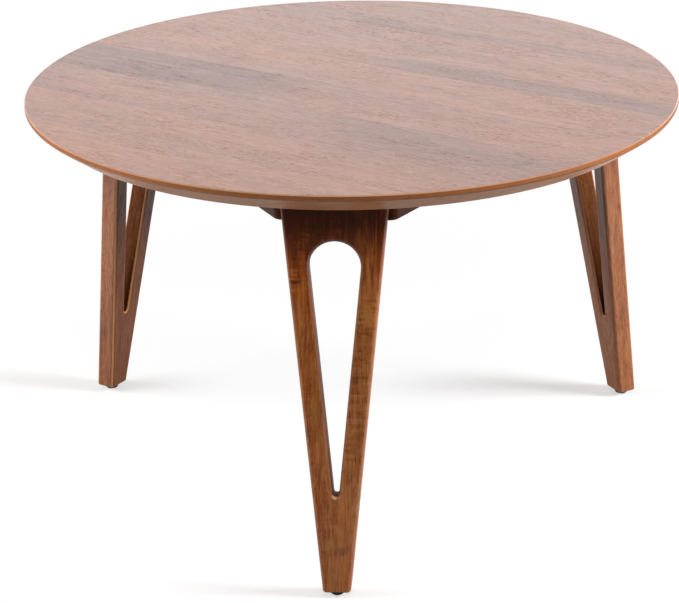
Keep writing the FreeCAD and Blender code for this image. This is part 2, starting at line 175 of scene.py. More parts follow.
# a colour as a paint chart gives it, 0 to 255, to the linear light that shaders use
def tint(red, green, blue):
    def linear(part):
        part = part / 255
        return part / 12.92 if part < 0.04045 else ((part + 0.055) / 1.055) ** 2.4
    return (linear(red), linear(green), linear(blue), 1.0)


def newFinish(name):
    material = bpy.data.materials.new(name)
    material.use_nodes = True
    return material, Sheet(material.node_tree)


def dress(name, material):
    for slot in nodes[name].material_slots:
        slot.material = material


# the level direction of an azimuth in degrees
def outward(azimuth):
    return Vector((math.cos(math.radians(azimuth)), math.sin(math.radians(azimuth)), 0))


# the wood's figure: waves to the metre along the grain, across it and into the wood, then detail,
# roughness and twist
figure = {
    "drift": ((3, 7, 7), 2.0),
    "waver": ((22, 30, 30), 1.0),
    "rings": ((1, 1, 1), 2.0),
    "streaks": ((5, 110, 110), 4.0, 0.62),
    "grain": ((16, 330, 330), 3.0, 0.65),
    "broad": ((3, 13, 13), 2.0),
    "mottle": ((60, 170, 170), 3.0, 0.6, 0.4),
    "fibres": ((40, 900, 900), 2.0, 0.6),
    "curl": ((150, 24, 24), 2.0, 0.5, 1.5),
    "linePatches": ((8, 26, 26), 2.0),
    "curlBeds": ((9, 20, 20), 1.0),
    "poreBeds": ((11, 60, 60), 2.0, 0.6),
    "poreDashes": ((150, 1250, 1250), 1.0, 0.4),
    "poreClusters": ((130, 560, 560), 2.0, 0.6),
    "warmth": ((6, 22, 22), 2.0),
}
bedEdges = {   # where a bed of this figure starts and where it is full
    "linePatches": (-0.10, 0.06),
    "curlBeds": (-0.04, 0.20),
    "poreBeds": (-0.14, 0.16),
    "poreDashes": (0.04, 0.18),
    "poreClusters": (0.0, 0.22),
    "warmth": (-0.14, 0.14),
}
faceEdges = {   # the same for the ways a surface can face
    "endGrain": (0.55, 0.95),
    "sawn": (0.5, 0.2),
    "bevel": (0.2, 0.08),
    "side": (0.6, 0.3),
    "back": (-0.5, -0.9),
    "arris": (0.34, 0.49),
}
blends = {   # how much of the figure goes into what it frays, roughens or raises
    "ringStray": {"rings": 7.0, "streaks": 3.0},
    "fray": {"streaks": 0.09, "broad": 0.04, "drift": 0.02},
    "fleckEdge": {"mottle": 1.6, "streaks": 1.2},
    "markEdge": {"mottle": 0.6},
    "highlightEdge": {"mottle": 1.2, "fibres": 0.8},
    "bevelTone": {"streaks": 1.4, "pores": -0.3},
    "rough": {"streaks": 0.10, "mottle": 0.06, "pores": 0.10},
    "lacquer": {"fibres": 0.7, "grain": 0.5, "mottle": 0.6},
    "height": {"fibres": 0.4, "mottle": 0.5, "curl": 0.3, "pores": -1.0},
}
seedSteps = (1.37, 2.11, 0.73)


# stained, lacquered hardwood in a piece's own directions: x along the grain, y across, z out of the face
def woodFinish(name, look):
    material, sheet = newFinish(name)
    turn = look["turn"]
    local = sheet.node("ShaderNodeMapping", {"vector_type": "TEXTURE"}, {
        "Vector": sheet.place(), "Location": look["origin"], "Rotation": turn.to_euler()})
    along, across, deep = sheet.parts(local)
    shift = tuple(look["seed"] * step for step in seedSteps)

    def swing(kind, vector, moved=shift):
        scale, *settings = figure[kind]
        return sheet.swing(vector, scale, moved, *settings)

    def bed(kind, vector, moved=shift):
        return sheet.ease(swing(kind, vector, moved), *bedEdges[kind])

    # the grain sways slowly along the piece
    drift = swing("drift", local)
    sway = drift * look["sway"] + swing("waver", local) * look["waver"]
    swayed = sheet.vector(along, across + sway, deep + sway * look["deepSway"])
    parts = {kind: swing(kind, swayed) for kind in ("streaks", "grain", "broad", "mottle", "fibres", "curl")}
    parts["drift"] = drift
    streaks, broad = parts["streaks"], parts["broad"]

    def blend(kind):
        return sum(parts[part] * share for part, share in blends[kind].items())

    # growth rings around a heart line behind the face, drawn out along the grain
    heartAcross, heartDeep, heartRise = look["heart"]
    heartSide = across + sway * look["ringSway"] - heartAcross
    heartBack = deep + sway - heartDeep + along * heartRise
    fromHeart = (heartSide ** 2 + heartBack ** 2) ** 0.5
    ringPlace = sheet.vector(fromHeart * look["rings"], along * look["ringPull"], 0.0)
    parts["rings"] = swing("rings", ringPlace)
    lap = fromHeart * (math.tau / look["ringGap"]) + blend("ringStray")
    ringLines = sheet.ease(lap.sine(), *look["lineEdge"]) * bed("linePatches", swayed)

    # cross figure, in beds and in the places that the piece names
    curlBeds = bed("curlBeds", local)
    for spot in look["curlBeds"]:
        inBed = sheet.ease(sheet.away(along, across, spot), 1.0, look["bedFull"])
        curlBeds = curlBeds + inBed * look["bedCurl"]

    # open pores: short dark dashes that crowd together in beds
    crowded = bed("poreClusters", swayed) * look["crowding"]
    thinned = look["fewPores"] + bed("poreBeds", swayed) * (1.0 - look["fewPores"])
    parts["pores"] = pores = (bed("poreDashes", swayed) + crowded) * thinned

    # how pale the wood is at a place, 0.5 in the middle of the stops
    tones = {
        "ringTone": parts["rings"], "streakTone": streaks, "broadTone": broad, "mottleTone": parts["mottle"],
        "curlTone": parts["curl"] * curlBeds, "fibreTone": parts["fibres"], "grainTone": parts["grain"],
        "lean": across, "paintedLightAlong": along}
    tone = 0.5 + look["lift"]
    for key, part in tones.items():
        tone = tone + part * look[key]
    # painted shade under the table top, darker towards the upper end of a plank
    tone = tone - sheet.ease(along, look["shadeReach"], 0.0) * look["topShade"]
    colour = sheet.node("ShaderNodeValToRGB", {"stops": look["stops"]}, {"Fac": tone})
    warmth = bed("warmth", swayed, shift[1:] + shift[:1])
    colour = sheet.mix(warmth * look["warm"], colour, look["warmTint"], "MULTIPLY")

    # ragged golden flecks where this piece has them
    for *spot, strength in look["flecks"]:
        ragged = sheet.away(along, across, spot) + blend("fleckEdge")
        colour = sheet.mix(sheet.ease(ragged, 1.0, look["fleckFull"]) * strength, colour, look["golden"])

    # dusky heartwood where this piece has it, frayed along the grain
    frayed = across + blend("fray")
    dusk = sheet.ease(broad + streaks, *look["duskEdge"]) * look["dusk"]
    (endOut, endIn), (sideOut, sideIn) = look["zoneEnds"], look["zoneSides"]
    for start, end, middle, half, strength in look["zones"]:
        aside = abs(frayed - middle)
        inZone = sheet.ease(along - aside, start - endOut, start + endIn)
        inZone = inZone * sheet.ease(along + aside, end + endOut, end - endIn)
        inZone = inZone * sheet.ease(aside, half + sideOut, half - sideIn)
        dusk = dusk + inZone * strength * sheet.ease(streaks, *look["zoneStreaks"])
    colour = sheet.mix(sheet.ease(dusk, 0.0, 1.0), colour, look["dusky"])

    # fine growth lines and pores, small dark marks, spots of painted shade and glue lines where this piece
    # has them
    marksAndShade = pores * look["pores"] + ringLines * look["lines"]
    for *spot, strength in look["marksAndShade"]:
        ragged = sheet.away(along, across, spot) + blend("markEdge")
        marksAndShade = marksAndShade + sheet.ease(ragged, 1.0, look["markFull"]) * strength
    for edge in look["glueLines"]:
        marksAndShade = marksAndShade + sheet.ease(abs(across - edge), *look["glueEdge"]) * look["glueTone"]
    colour = sheet.mix(sheet.ease(marksAndShade, 0.0, 1.0), colour, look["pore"])

    # end grain is darker; the back face and the walls of a slot get painted shade, sawn edges are paler, and
    # the bevel gets painted light
    darkest, palest = look["stops"][0][1], look["stops"][-1][1]
    facing = sheet.node("ShaderNodeNewGeometry", {}, {}, "Normal")
    endGrain = sheet.ease(abs(sheet.dot(facing, turn @ Vector((1, 0, 0)))), *faceEdges["endGrain"])
    soaked = endGrain * look["endGrain"]
    colour = sheet.mix(soaked, colour, darkest)
    upward = sheet.dot(facing, turn @ Vector((0, 0, 1)))
    sawn = sheet.ease(abs(upward), *faceEdges["sawn"]) * look["rim"]
    colour = sheet.mix(sawn, colour, palest)
    # painted light: the bevel, which faces the floor, is painted paler
    bevelled = sheet.ease(abs(upward + look["bevelSlope"]), *faceEdges["bevel"]) * look["bevel"]
    colour = sheet.mix(bevelled * (look["bevelShare"] + blend("bevelTone")), colour, look["bevelLightTint"])
    # painted shade on the back face, the side turned away from the face of the piece
    backFace = sheet.ease(upward, *faceEdges["back"])
    colour = sheet.mix(backFace * look["backPaintedShade"], colour, darkest)
    # painted shade on the walls of a slot, darker towards its foot
    slotEdge = abs(across) + along * look["slotTaper"] - look["slotReach"]
    inSlot = sheet.ease(slotEdge, look["slotSoft"], -look["slotSoft"])
    inSlot = inSlot * sheet.ease(abs(upward), *faceEdges["side"])
    slotShaded = inSlot * sheet.ease(along, *look["slotShade"], 1.0) * look["slotPaintedShade"]
    colour = sheet.mix(slotShaded, colour, look["slotShadeTint"])

    # paler arrises, from rubbed wear and a painted highlight, and spots of painted highlight where this
    # piece has them
    arris = abs(upward) * (1.0 - upward * upward) ** 0.5
    wornAndHighlit = sheet.ease(arris, *faceEdges["arris"]) * (1.0 - endGrain)
    colour = sheet.mix(wornAndHighlit * look["wornAndHighlit"], colour, look["wornHighlightTint"])
    # spots of painted highlight, kept off the walls of a slot
    for *spot, strength in look["highlightSpots"]:
        ragged = sheet.away(along, across, spot) + blend("highlightEdge")
        highlighted = sheet.ease(ragged, 1.0, look["highlightFull"]) * (1.0 - inSlot) * strength
        colour = sheet.mix(highlighted, colour, look["highlightTint"])

    # the lacquer lies thinner over pores and coarse fibres, and where the wood soaks it up
    rough = look["rough"] + blend("rough") - wornAndHighlit * look["rubbedSmooth"]
    rough = rough + inSlot * look["slotRough"] + soaked * look["endRough"]
    lacquer = 1.0 + blend("lacquer") - pores * look["sunken"] - slotShaded - dusk * look["duskThin"]
    lacquer = lacquer - bevelled * look["bevelThin"] - soaked * look["endThin"] - backFace * look["backThin"]
    normal = sheet.bump(blend("height"), look["bump"], look["bumpDepth"])
    sheet.finish({
        "Base Color": colour, "Roughness": rough, "Normal": normal, "Specular IOR Level": look["gloss"],
        "Coat Weight": lacquer * look["coat"], "Coat Roughness": look["coatRough"],
        "Coat IOR": look["coatIndex"]})
    return material


# what all the wood of the table shares; lengths in metres, most of the rest are shares of 1
wood = {
    "stops": [   # from the darkest grain to the palest
        (0.10, tint(84, 40, 16)), (0.36, tint(128, 68, 30)), (0.52, tint(156, 88, 40)),
        (0.68, tint(174, 104, 52)), (0.92, tint(194, 126, 72))],
    "lift": 0.0,
    "lean": 0.0,           # paler to one side
    "paintedLightAlong": 0.0,           # painted light and shade, paler along the grain
    "ringTone": 0.22,
    "streakTone": 0.24,
    "broadTone": 0.40,
    "mottleTone": 0.26,
    "curlTone": 0.30,
    "fibreTone": 0.30,
    "grainTone": 0.12,
    "topShade": 0.0,       # painted shade, darker towards the upper end
    "shadeReach": 0.05,
    "warm": 0.5,
    "warmTint": (1.08, 0.90, 0.72, 1.0),
    "sway": 0.018,
    "waver": 0.004,
    "deepSway": 0.7,
    "heart": (0.0, -0.05, 0.0),   # across, into the wood, rise along the grain
    "rings": 60.0,
    "ringSway": 2.0,
    "ringPull": 1.4,
    "ringGap": 0.011,
    "lineEdge": (0.72, 1.0),
    "lines": 0.15,
    "curlBeds": [],
    "bedCurl": 1.6,
    "bedFull": 0.3,        # share of a spot, from its middle, that has its full strength
    "pore": tint(66, 34, 20),
    "pores": 0.62,
    "fewPores": 0.3,       # what is left of them between the beds
    "crowding": 0.0,
    "sunken": 0.4,
    "dusky": tint(112, 66, 54),
    "dusk": 0.2,
    "duskEdge": (0.04, 0.32),
    "duskThin": 0.16,
    "zones": [],
    "zoneEnds": (0.05, 0.04),     # how far an edge fades out of the zone and into it
    "zoneSides": (0.008, 0.007),
    "zoneStreaks": (-0.25, 0.05, 0.45, 1.0),
    "golden": tint(190, 126, 58),
    "flecks": [],
    "fleckFull": 0.2,
    "marksAndShade": [],
    "markFull": 0.3,
    "glueLines": [],
    "glueEdge": (0.0008, 0.0003),
    "glueTone": 0.55,
    "endGrain": 0.4,
    "endRough": 0.5,
    "endThin": 1.5,
    "rim": 0.0,
    # the bevel under the top's edge is painted paler, painted light from the floor below
    "bevel": 0.0,
    "bevelSlope": 0.82,    # how far the bevel faces down
    "bevelLightTint": tint(238, 150, 84),
    "bevelShare": 0.8,
    "bevelThin": 0.45,
    # painted shade on the back face
    "backPaintedShade": 0.0,
    "backThin": 0.0,
    "slotReach": -1.0,     # half width of the slot at the plank's top, below zero for none
    "slotTaper": 0.082,
    "slotSoft": 0.003,
    # painted shade on the walls of a slot
    "slotShadeTint": tint(56, 27, 12),
    "slotPaintedShade": 0.0,
    "slotShade": (0.0, 0.20, 0.45),   # start and end of the darkening, and the share before it
    "slotRough": 0.2,
    # arrises paler from rubbed wear and a painted highlight
    "wornAndHighlit": 0.3,
    "wornHighlightTint": tint(194, 126, 72),
    "rubbedSmooth": 0.05,
    # spots of painted highlight
    "highlightSpots": [],
    "highlightFull": 0.4,
    "highlightTint": tint(236, 186, 150),
    "rough": 0.38,
    "bump": 0.30,
    "bumpDepth": 0.0003,
    "gloss": 0.08,
    "coat": 0.8,
    "coatRough": 0.34,
    "coatIndex": 1.42,
}

# round top: eight boards, the grain turned against the legs; places in metres from the middle, a zone is its
# start, end, middle across, half width and strength, a mark its place, half length, half width and strength
topBoards = {
    "grainTurn": -30.4,
    "level": 0.458,
    "seams": (-0.275, -0.184, -0.093, -0.002, 0.089, 0.180, 0.271),
    "finish": {
        # the arris of the top gets a pale painted highlight, the bevel painted light
        "lift": -0.13, "rim": 0.4, "bevel": 1.0, "endGrain": 0.1, "dusky": tint(106, 60, 44), "warm": 0.45,
        "ringTone": 0.16, "streakTone": 0.20, "broadTone": 0.26, "mottleTone": 0.14, "fibreTone": 0.14,
        "curlTone": 0.2, "pores": 0.42, "crowding": 0.55, "sunken": 0.6, "wornAndHighlit": 0.5,
        "wornHighlightTint": tint(232, 184, 152)},
    "boards": {
        "top_board_1": {"seed": 3.1, "heart": (-0.36, -0.07, 0.05), "lift": -0.10},
        "top_board_2": {
            "seed": 8.4, "heart": (-0.22, -0.05, 0.08), "lift": -0.12,
            "zones": [(0.09, 0.15, -0.190, 0.012, 0.5)],
            "marksAndShade": [(-0.182, -0.267, 0.012, 0.010, 0.3), (-0.150, -0.271, 0.030, 0.004, 0.15)]},
        "top_board_3": {
            "seed": 1.9, "heart": (-0.125, -0.03, 0.16), "lift": -0.18, "lines": 0.32,
            "zones": [(0.06, 0.42, -0.130, 0.034, 0.55)],
            "curlBeds": [(0.215, -0.130, 0.08, 0.03)],
            "marksAndShade": [
                (-0.315, -0.130, 0.008, 0.0012, 0.9), (0.272, -0.119, 0.007, 0.005, 0.35),
                (0.304, -0.139, 0.008, 0.005, 0.35)]},
        "top_board_4": {
            "seed": 6.3, "heart": (-0.05, -0.03, -0.14), "lines": 0.25,
            "zones": [(-0.46, -0.05, -0.045, 0.050, 0.85)]},
        "top_board_5": {
            "seed": 4.7, "heart": (0.05, -0.04, 0.15), "lift": -0.10, "dusk": 0.08,
            "zones": [(-0.23, -0.19, 0.055, 0.008, 0.4)],
            "marksAndShade": [(0.240, 0.040, 0.004, 0.0016, 0.9)]},
        "top_board_6": {
            "seed": 2.6, "heart": (0.14, -0.05, 0.1),
            "zones": [(-0.04, 0.46, 0.106, 0.026, 0.75), (0.11, 0.18, 0.170, 0.010, 0.4)]},
        "top_board_7": {
            "seed": 9.2, "heart": (0.24, -0.04, -0.1), "lines": 0.25,
            "zones": [(-0.18, 0.28, 0.250, 0.022, 0.65)]},
        "top_board_8": {"seed": 5.5, "heart": (0.33, -0.05, 0.0), "lift": -0.11, "dusk": 0.1},
    },
}
boardTurn = Euler((0, 0, math.radians(topBoards["grainTurn"]))).to_matrix()
for number, (name, own) in enumerate(topBoards["boards"].items()):
    lie = {"turn": boardTurn, "origin": (0, 0, topBoards["level"])}
    edges = {"glueLines": topBoards["seams"][max(number - 1, 0):number + 1]}
    dress(name, woodFinish(name + "_wood", {**wood, **topBoards["finish"], **lie, **edges, **own}))
print("top boards finished:", len(topBoards["boards"]))

# legs: grain down the length of each plank, plainer in the two that stand behind; flecks, painted highlight
# spots, marks with painted shade among them, and beds of curl have their places in metres down the plank
# from its top and across it
calm = {
    "curlTone": 0.15, "mottleTone": 0.25, "streakTone": 0.55, "grainTone": 0.6, "broadTone": 0.35,
    "ringTone": 0.3, "dusk": 0.15, "pores": 0.35, "warm": 0.1, "shadeReach": 0.24, "coatIndex": 1.75,
    "backThin": 0.3}
legs = {
    "splay": 9.1,
    "reach": 0.3181,
    "level": 0.4316,
    "planks": {
        "leg_front": {
            # painted light towards the foot, painted shade at the top and in the slot
            "azimuth": -90, "seed": 11.3, "lean": 2.6, "paintedLightAlong": 0.7, "curlTone": 0.9, "warm": 1.0,
            "warmTint": (1.10, 0.91, 0.64, 1.0), "topShade": 0.55, "shadeReach": 0.11, "coat": 0.7,
            # a grey-pink painted sheen on the arrises
            "slotPaintedShade": 0.3, "wornAndHighlit": 0.7, "wornHighlightTint": tint(140, 104, 88),
            "flecks": [
                (0.223, -0.022, 0.035, 0.007, 0.35), (0.378, -0.007, 0.012, 0.008, 0.8),
                (0.120, 0.034, 0.02, 0.010, 0.5)],
            # a painted highlight just below the foot of the slot
            "highlightSpots": [(0.323, -0.002, 0.0032, 0.0042, 0.85)],
            # the second mark is painted shade in the foot of the slot
            "marksAndShade": [(0.384, 0.006, 0.010, 0.006, 0.4), (0.3185, 0.0, 0.0035, 0.008, 0.9)],
            "curlBeds": [(0.120, 0.036, 0.030, 0.022), (0.085, -0.045, 0.020, 0.012)]},
        "leg_right": {
            # painted shade towards the foot, at the top, in the slot and on the back face
            **calm, "azimuth": 30, "seed": 12.9, "paintedLightAlong": -0.3, "lift": 0.22, "topShade": 0.3,
            "slotPaintedShade": 0.95, "slotShade": (0.0, 0.30, 0.30), "backPaintedShade": 0.3},
        "leg_left": {
            # painted shade towards the foot, at the top, in the slot and on the back face
            **calm, "azimuth": 150, "seed": 14.2, "paintedLightAlong": -0.35, "lift": 0.17, "topShade": 0.5,
            # a golden painted highlight on the arrises
            "slotPaintedShade": 0.75, "backPaintedShade": 0.5, "wornAndHighlit": 1.0, "wornHighlightTint": tint(232, 158, 90)},
    },
    "finish": {
        "lift": 0.02, "heart": (0.03, -0.05, 0.0), "dusk": 0.35, "ringTone": 0.45, "streakTone": 0.70,
        "broadTone": 0.55, "mottleTone": 0.6, "fibreTone": 0.6, "grainTone": 1.0, "lines": 0.1,
        "slotReach": 0.0445, "ringGap": 0.006, "coat": 1.0, "coatRough": 0.28, "coatIndex": 1.5,
        "wornAndHighlit": 0.15},
}
splay = math.radians(legs["splay"])
for name, own in legs["planks"].items():
    out = outward(own["azimuth"])
    down = out * math.sin(splay) - Vector((0, 0, math.cos(splay)))
    face = out * math.cos(splay) + Vector((0, 0, math.sin(splay)))
    lie = {
        "turn": Matrix((down, face.cross(down), face)).transposed(),
        "origin": out * legs["reach"] + Vector((0, 0, legs["level"]))}
    dress(name, woodFinish(name + "_wood", {**wood, **legs["finish"], **lie, **own}))
print("legs finished:", len(legs["planks"]))

# rails and corner blocks: grain along each one, stained darker than the show wood
underFrame = {
    "level": 0.4036,
    "pieces": {
        "rail_back": {"azimuth": 90, "seed": 21.0},
        "rail_left": {"azimuth": 210, "seed": 22.4},
        "rail_right": {"azimuth": 330, "seed": 23.8},
        "corner_block_front": {"azimuth": -90, "seed": 24.1},
        "corner_block_right": {"azimuth": 30, "seed": 25.7},
        "corner_block_left": {"azimuth": 150, "seed": 26.5},
    },
    "finish": {"lift": -0.22, "coat": 0.4, "coatRough": 0.5},
}


# how a piece lies whose grain runs level across an azimuth
def railLie(azimuth):
    out = outward(azimuth)
    tangent = Vector((-out.y, out.x, 0))
    return {
        "turn": Matrix((tangent, out, Vector((0, 0, -1)))).transposed(),
        "origin": (0, 0, underFrame["level"])}


for name, own in underFrame["pieces"].items():
    look = {**wood, **underFrame["finish"], **railLie(own["azimuth"]), "seed": own["seed"]}
    dress(name, woodFinish(name + "_wood", look))
print("under-frame finished:", len(underFrame["pieces"]))


# metal or moulded nylon: cloudy, with fine grit and a few scratches
def smoothFinish(name, look):
    material, sheet = newFinish(name)
    place, seed = sheet.place(), look["seed"]
    cloud, grit, scratch = (
        sheet.swing(place, scale, shift, *settings)
        for (scale, *settings), shift in zip(look["figure"], ((seed, 0, 0), (0, seed, 0), (0, 0, seed))))
    scratch = sheet.ease(scratch, *look["scratchEdge"])
    colour = sheet.mix(sheet.ease(cloud, *look["cloudEdge"]), look["colour"], look["clouded"])
    colour = sheet.mix(scratch * look["scratched"], colour, look["scratchTint"])
    cloudRough, gritRough, scratchRough = look["roughShares"]
    rough = look["rough"] + cloud * cloudRough + grit * gritRough + scratch * scratchRough
    height = grit * look["gritHeight"] - scratch * look["scratchDepth"]
    sheet.finish({
        "Base Color": colour, "Metallic": look["metallic"], "Roughness": rough,
        "Specular IOR Level": look["gloss"],
        "Normal": sheet.bump(height, look["bump"], look["bumpDepth"])})
    return material


# bolts in black oxide, zinc plated washers and nails, brass inserts, nylon glides; the figure is cloud, grit
# and scratches, each as waves to the metre, detail and roughness
metal = {
    "figure": (((160, 160, 160), 3.0, 0.6), ((1900, 1900, 1900), 2.0, 0.6), ((350, 3800, 900), 1.0)),
    "cloudEdge": (-0.12, 0.18), "scratchEdge": (0.12, 0.24), "roughShares": (0.22, 0.12, -0.08),
    "gritHeight": 0.6, "scratchDepth": 0.5, "bump": 0.25, "bumpDepth": 0.0001, "metallic": 1.0, "gloss": 0.5}
blackened = {
    **metal, "colour": tint(52, 52, 54), "clouded": tint(38, 37, 38), "scratchTint": tint(150, 150, 150),
    "rough": 0.42, "scratched": 0.5}
plated = {
    **metal, "colour": tint(196, 198, 196), "clouded": tint(168, 172, 170),
    "scratchTint": tint(228, 230, 230), "rough": 0.34, "scratched": 0.6}
brassy = {
    **metal, "colour": tint(206, 172, 98), "clouded": tint(184, 146, 76), "scratchTint": tint(236, 212, 150),
    "rough": 0.30, "scratched": 0.6}
nylon = {
    "figure": (((150, 150, 150), 2.0), ((2200, 2200, 2200), 2.0, 0.6), ((320, 2600, 500), 1.0)),
    "cloudEdge": (-0.15, 0.18), "scratchEdge": (0.10, 0.24), "roughShares": (0.0, 0.16, 0.12),
    "gritHeight": 1.0, "scratchDepth": 0.4, "bump": 0.3, "bumpDepth": 0.0002, "metallic": 0.0, "gloss": 0.45,
    "colour": tint(30, 30, 32), "clouded": tint(44, 44, 46), "scratchTint": tint(84, 84, 86),
    "rough": 0.52, "scratched": 0.5}
fittings = {
    "leg_bolts": {**blackened, "seed": 31.0},
    "leg_washers": {**plated, "seed": 33.0},
    "glide_nail": {**plated, "seed": 35.0},
    "leg_inserts": {**brassy, "seed": 37.0},
    "glide": {**nylon, "seed": 39.0},
}
corners = {"front": -90, "right": 30, "left": 150}
for kind, look in fittings.items():
    finish = smoothFinish(kind, look)
    for corner in corners:
        dress(f"{kind}_{corner}", finish)
print("fittings finished:", len(fittings), "kinds")

# dowels of raw hardwood, grain along the rails
dowels = {
    "firstSeed": 41.0,
    "finish": {
        "stops": [
            (0.10, tint(176, 138, 92)), (0.36, tint(200, 164, 116)), (0.52, tint(212, 178, 132)),
            (0.68, tint(220, 190, 146)), (0.92, tint(230, 204, 164))],
        "dusky": tint(170, 130, 88), "pore": tint(140, 102, 66),
        "coat": 0.0, "gloss": 0.3, "rough": 0.62, "warm": 0.1},
}
for number, (corner, azimuth) in enumerate(corners.items()):
    look = {**wood, **dowels["finish"], **railLie(azimuth), "seed": dowels["firstSeed"] + number}
    dress(f"frame_dowels_{corner}", woodFinish(f"frame_dowels_{corner}_wood", look))
print("dowels finished:", len(corners), "corners")

# countersunk wood screws with a thread and a cross recess, in place of the plain ones; sizes in metres
screws = {
    "headRadius": 0.0045,
    "headRim": 0.0003,
    "headDepth": 0.00225,
    "shankRadius": 0.00225,
    "coreRadius": 0.00150,
    "length": 0.040,
    "point": 0.006,
    "tip": 0.13,             # share of the radius that is left at the point
    "threadStart": 0.014,
    "pitch": 0.0022,
    "stepsPerTurn": 4,
    "recessReach": 0.0024,
    "recessHalf": 0.00058,
    "recessDepth": 0.0020,
    "recessTaper": 0.55,
    "recessCone": 1.1,
    "sides": 32,
    "sharpAngle": 32,
    "turns": (1.3, 0.7),     # how far each piece and each screw in it is turned, in radians
    "flat": 0.00001,         # what still counts as the plane of the heads
    "apart": 0.02,           # least distance of a pair's heads from the middle of the piece
    "rails": {"back": 90, "left": 210, "right": 330},
    "finish": {**plated, "seed": 43.0},
}


# one screw, its point up, the middle of its head at a given place
def addScrew(shape, place, turn):
    sides = screws["sides"]
    head, shank, core = screws["headRadius"], screws["shankRadius"], screws["coreRadius"]
    start, threaded = screws["threadStart"], screws["length"] - screws["threadStart"]
    straight = screws["length"] - screws["point"]
    levels = [(0.0, head), (screws["headRim"], head), (screws["headDepth"], shank), (start, shank)]
    steps = round(threaded / screws["pitch"] * screws["stepsPerTurn"])
    levels += [(start + threaded * (step + 1) / steps, None) for step in range(steps)]

    def corner(level, radius, angle):
        if radius is None:
            lap = (level / screws["pitch"] - angle / math.tau) % 1.0
            ridge = 1.0 - abs(2.0 * lap - 1.0)
            radius = core + (shank - core) * ridge
            radius *= 1.0 - max(level - straight, 0.0) / screws["point"] * (1.0 - screws["tip"])
        spun = angle + turn
        return shape.verts.new(place + Vector((radius * math.cos(spun), radius * math.sin(spun), level)))

    loops = [
        [corner(level, radius, math.tau * side / sides) for side in range(sides)]
        for level, radius in levels]
    for lower, upper in zip(loops, loops[1:]):
        for side in range(sides):
            after = (side + 1) % sides
            shape.faces.new((lower[side], lower[after], upper[after], upper[side]))
    shape.faces.new(loops[-1])

    # the cross is sunk into the head, narrower at its bottom
    reach, half, taper = screws["recessReach"], screws["recessHalf"], screws["recessTaper"]
    outline = [
        (reach, -half), (reach, half), (half, half), (half, reach), (-half, reach), (-half, half),
        (-reach, half), (-reach, -half), (-half, -half), (-half, -reach), (half, -reach), (half, -half)]
    cosine, sine = math.cos(turn), math.sin(turn)

    def recessed(x, y, level):
        return shape.verts.new(place + Vector((x * cosine - y * sine, x * sine + y * cosine, level)))

    brim = [recessed(x, y, 0.0) for x, y in outline]
    bottom = [recessed(x * taper, y * taper, screws["recessDepth"]) for x, y in outline]
    middle = recessed(0, 0, screws["recessDepth"] * screws["recessCone"])
    edges = []
    for index in range(len(outline)):
        after = (index + 1) % len(outline)
        shape.faces.new((brim[index], brim[after], bottom[after], bottom[index]))
        shape.faces.new((bottom[index], bottom[after], middle))
        edges.append(shape.edges.get((brim[index], brim[after])))
    edges += [shape.edges.get((loops[0][side], loops[0][(side + 1) % sides])) for side in range(sides)]
    bmesh.ops.triangle_fill(shape, use_beauty=True, edges=edges)


# the heads of the plain screws lie in their lowest plane, one to a piece or one on each side of its middle
def headSpots(node, azimuth):
    out = outward(azimuth)
    tangent = Vector((-out.y, out.x, 0))
    points = [vertex.co for vertex in nodes[node].data.vertices]
    lowest = min(point.z for point in points)
    rim = [point for point in points if point.z < lowest + screws["flat"]]
    groups = [[point for point in rim if point.dot(tangent) * side > screws["apart"]] for side in (-1, 1)]
    if not all(groups):
        groups = [rim]
    spots = []
    for group in groups:
        high = Vector([max(point[axis] for point in group) for axis in range(3)])
        low = Vector([min(point[axis] for point in group) for axis in range(3)])
        spots.append((high + low) / 2)
    return spots


screwFinish = smoothFinish("screw_zinc", screws["finish"])
screwNodes = {f"rail_screws_{rail}": azimuth for rail, azimuth in screws["rails"].items()}
screwNodes.update({f"block_screw_{corner}": azimuth for corner, azimuth in corners.items()})
pieceTurn, screwTurn = screws["turns"]
for number, (node, azimuth) in enumerate(screwNodes.items()):
    shape = bmesh.new()
    for count, place in enumerate(headSpots(node, azimuth)):
        addScrew(shape, place, number * pieceTurn + count * screwTurn)
    bmesh.ops.recalc_face_normals(shape, faces=shape.faces)
    mesh = bpy.data.meshes.new(node + "_threaded")
    shape.to_mesh(mesh)
    shape.free()
    mesh.set_sharp_from_angle(angle=math.radians(screws["sharpAngle"]))
    mesh.materials.append(screwFinish)
    piece = bpy.data.objects.new(node + "_threaded", mesh)
    bpy.context.scene.collection.objects.link(piece)
    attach(piece, "root")
    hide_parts(node)
print("screws made:", len(screwNodes), "pieces")

